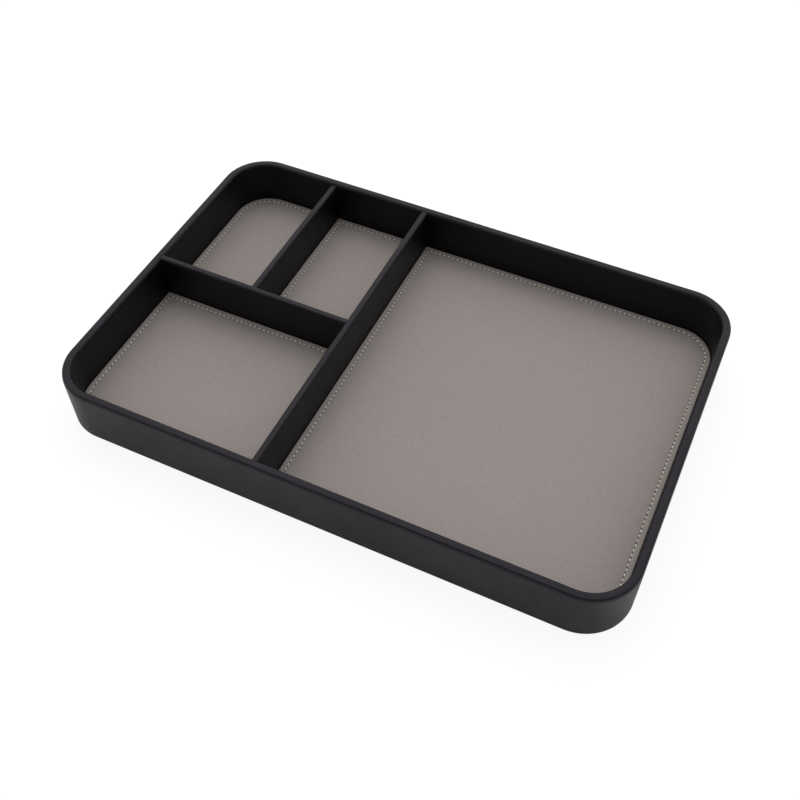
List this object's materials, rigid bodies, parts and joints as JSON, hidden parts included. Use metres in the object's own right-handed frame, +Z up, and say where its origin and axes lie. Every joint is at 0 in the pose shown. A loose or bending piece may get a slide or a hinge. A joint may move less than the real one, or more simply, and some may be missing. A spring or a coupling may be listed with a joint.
{
  "type": "valet tray",
  "caption": "Low rectangular valet tray with rounded corners, black leather-covered walls, fixed dividers and stitched taupe leather mats, for keys, watches and small things.",
  "frame": {"origin": "on the table under the middle of the tray", "axes": "+X to the right along the long side, +Y from the front to the back, +Z up"},
  "size_m": [0.303, 0.202, 0.032],
  "materials": {
    "black_leather": "fine-grained satin coated leather, black",
    "taupe_leather": "fine pebbled coated leather, taupe grey, with stitching round the edge",
    "fibreboard": "raw medium-density fibreboard",
    "grey_card": "grey bookbinder's card",
    "pale_thread": "twisted polyester sewing thread, off-white",
    "black_felt": "short-napped felt, black"
  },
  "bodies": {
    "root": {"back_rail": "fibreboard", "base_board": "fibreboard", "bottom_cover": "black_felt", "corner_back_left": "fibreboard", "corner_back_right": "fibreboard", "corner_front_left": "fibreboard", "corner_front_right": "fibreboard", "cross_divider_core": "fibreboard", "cross_divider_wrap": "black_leather", "front_rail": "fibreboard", "left_rail": "fibreboard", "long_divider_core": "fibreboard", "long_divider_wrap": "black_leather", "mat_card_back_left": "grey_card", "mat_card_back_middle": "grey_card", "mat_card_front_left": "grey_card", "mat_card_large": "grey_card", "mat_leather_back_left": "taupe_leather", "mat_leather_back_middle": "taupe_leather", "mat_leather_front_left": "taupe_leather", "mat_leather_large": "taupe_leather", "mat_thread_back_left": "pale_thread", "mat_thread_back_middle": "pale_thread", "mat_thread_front_left": "pale_thread", "mat_thread_large": "pale_thread", "right_rail": "fibreboard", "short_divider_core": "fibreboard", "short_divider_wrap": "black_leather", "underside_filler_card": "grey_card", "wall_wrap": "black_leather"}
  },
  "joints": []
}
